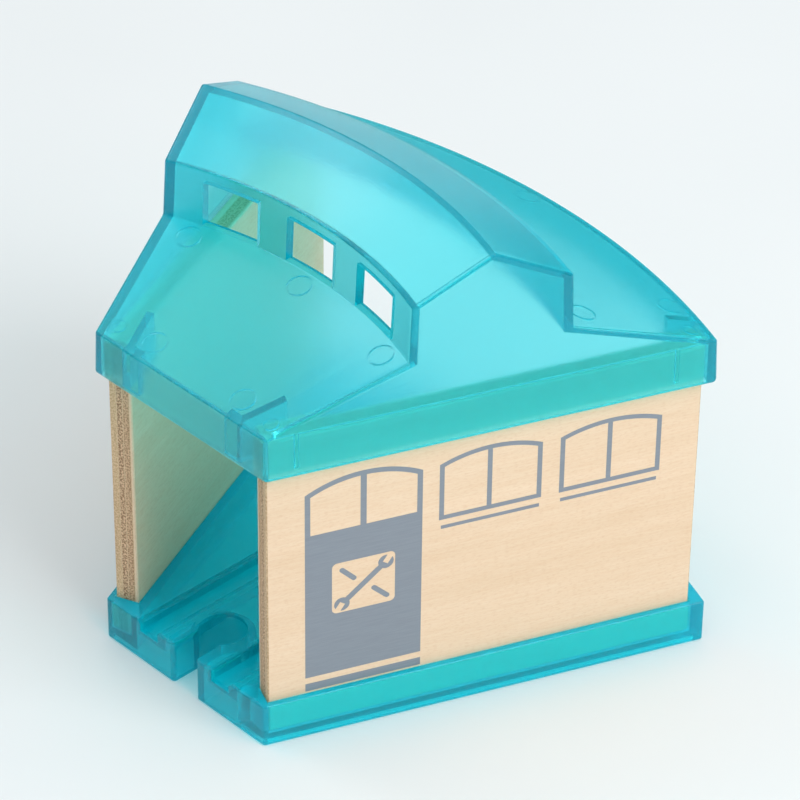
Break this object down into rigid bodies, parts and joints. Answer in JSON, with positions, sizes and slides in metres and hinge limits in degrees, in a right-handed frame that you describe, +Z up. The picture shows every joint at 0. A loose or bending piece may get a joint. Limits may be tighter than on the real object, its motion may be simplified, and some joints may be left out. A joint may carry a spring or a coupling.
{
  "type": "toy train shed",
  "caption": "Wedge-shaped engine shed for a wooden toy railway: translucent plastic base with track grooves and peg socket, plywood side walls, translucent roof.",
  "frame": {"origin": "middle of the bounding box in plan, on the surface the base stands on", "axes": "+X to the right across the entrance, +Y from the straight entrance front to the curved back along the track, +Z up"},
  "size_m": [0.1456, 0.12, 0.1275],
  "materials": {
    "teal_base_plastic": "translucent teal, fine moulded grain",
    "teal_roof_plastic": "translucent teal, fine moulded grain",
    "plywood": "pale plywood, sanded and sealed, printed in grey on its face"
  },
  "bodies": {
    "root": {"base": "teal_base_plastic", "right_wall": "plywood", "left_wall": "plywood", "roof": "teal_roof_plastic"}
  },
  "joints": []
}
